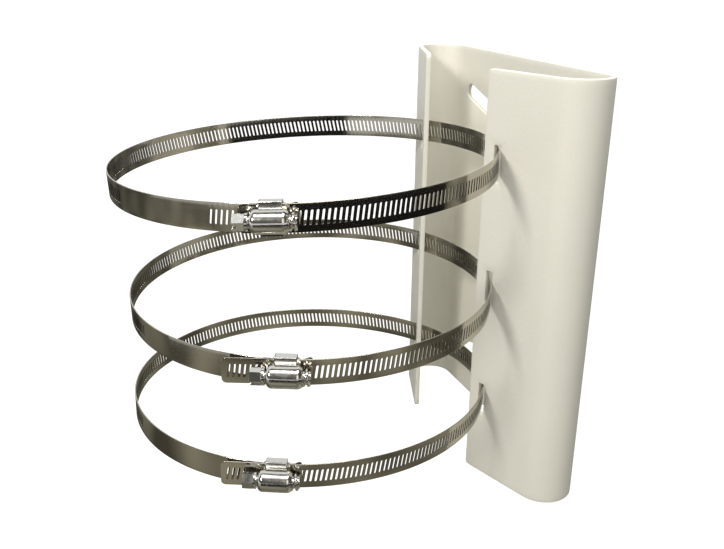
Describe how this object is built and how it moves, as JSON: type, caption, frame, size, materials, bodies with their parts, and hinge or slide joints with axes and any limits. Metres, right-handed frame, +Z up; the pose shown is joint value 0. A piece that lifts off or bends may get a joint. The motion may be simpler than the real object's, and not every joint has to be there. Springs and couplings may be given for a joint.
{
  "type": "camera pole mount bracket",
  "caption": "Bent channel that carries a camera on its flat face and is strapped to a round pole by worm drive band clamps through its lips.",
  "frame": {"origin": "centre of the flat outer face that the camera bolts to", "axes": "+X across the channel, +Y from the camera face towards the pole, +Z up along the pole"},
  "size_m": [0.2002, 0.2304, 0.23],
  "materials": {
    "powder_coat": "matt off-white powder coat on aluminium",
    "band_steel": "bright rolled stainless strip",
    "housing_steel": "bright stainless pressing",
    "screw_steel": "bright metal screw"
  },
  "bodies": {
    "mount": {"bracket": "powder_coat", "top_band": "band_steel", "top_housing": "housing_steel", "top_saddle": "housing_steel", "middle_band": "band_steel", "middle_housing": "housing_steel", "middle_saddle": "housing_steel", "bottom_band": "band_steel", "bottom_housing": "housing_steel", "bottom_saddle": "housing_steel"},
    "top_worm": {"top_screw": "screw_steel"},
    "middle_worm": {"middle_screw": "screw_steel"},
    "bottom_worm": {"bottom_screw": "screw_steel"}
  },
  "joints": [
    {"name": "top_screw_turn", "type": "hinge", "parent": "mount", "child": "top_worm", "pos_m": [-0.09237, 0.1753, 0.06549], "axis": [0.4163, 0.9085, -0.0373], "continuous": true},
    {"name": "middle_screw_turn", "type": "hinge", "parent": "mount", "child": "middle_worm", "pos_m": [-0.09438, 0.17145, -0.00499], "axis": [0.4242, 0.9055, -0.009], "continuous": true},
    {"name": "bottom_screw_turn", "type": "hinge", "parent": "mount", "child": "bottom_worm", "pos_m": [-0.08845, 0.17588, -0.06152], "axis": [0.3955, 0.918, 0.0275], "continuous": true}
  ]
}
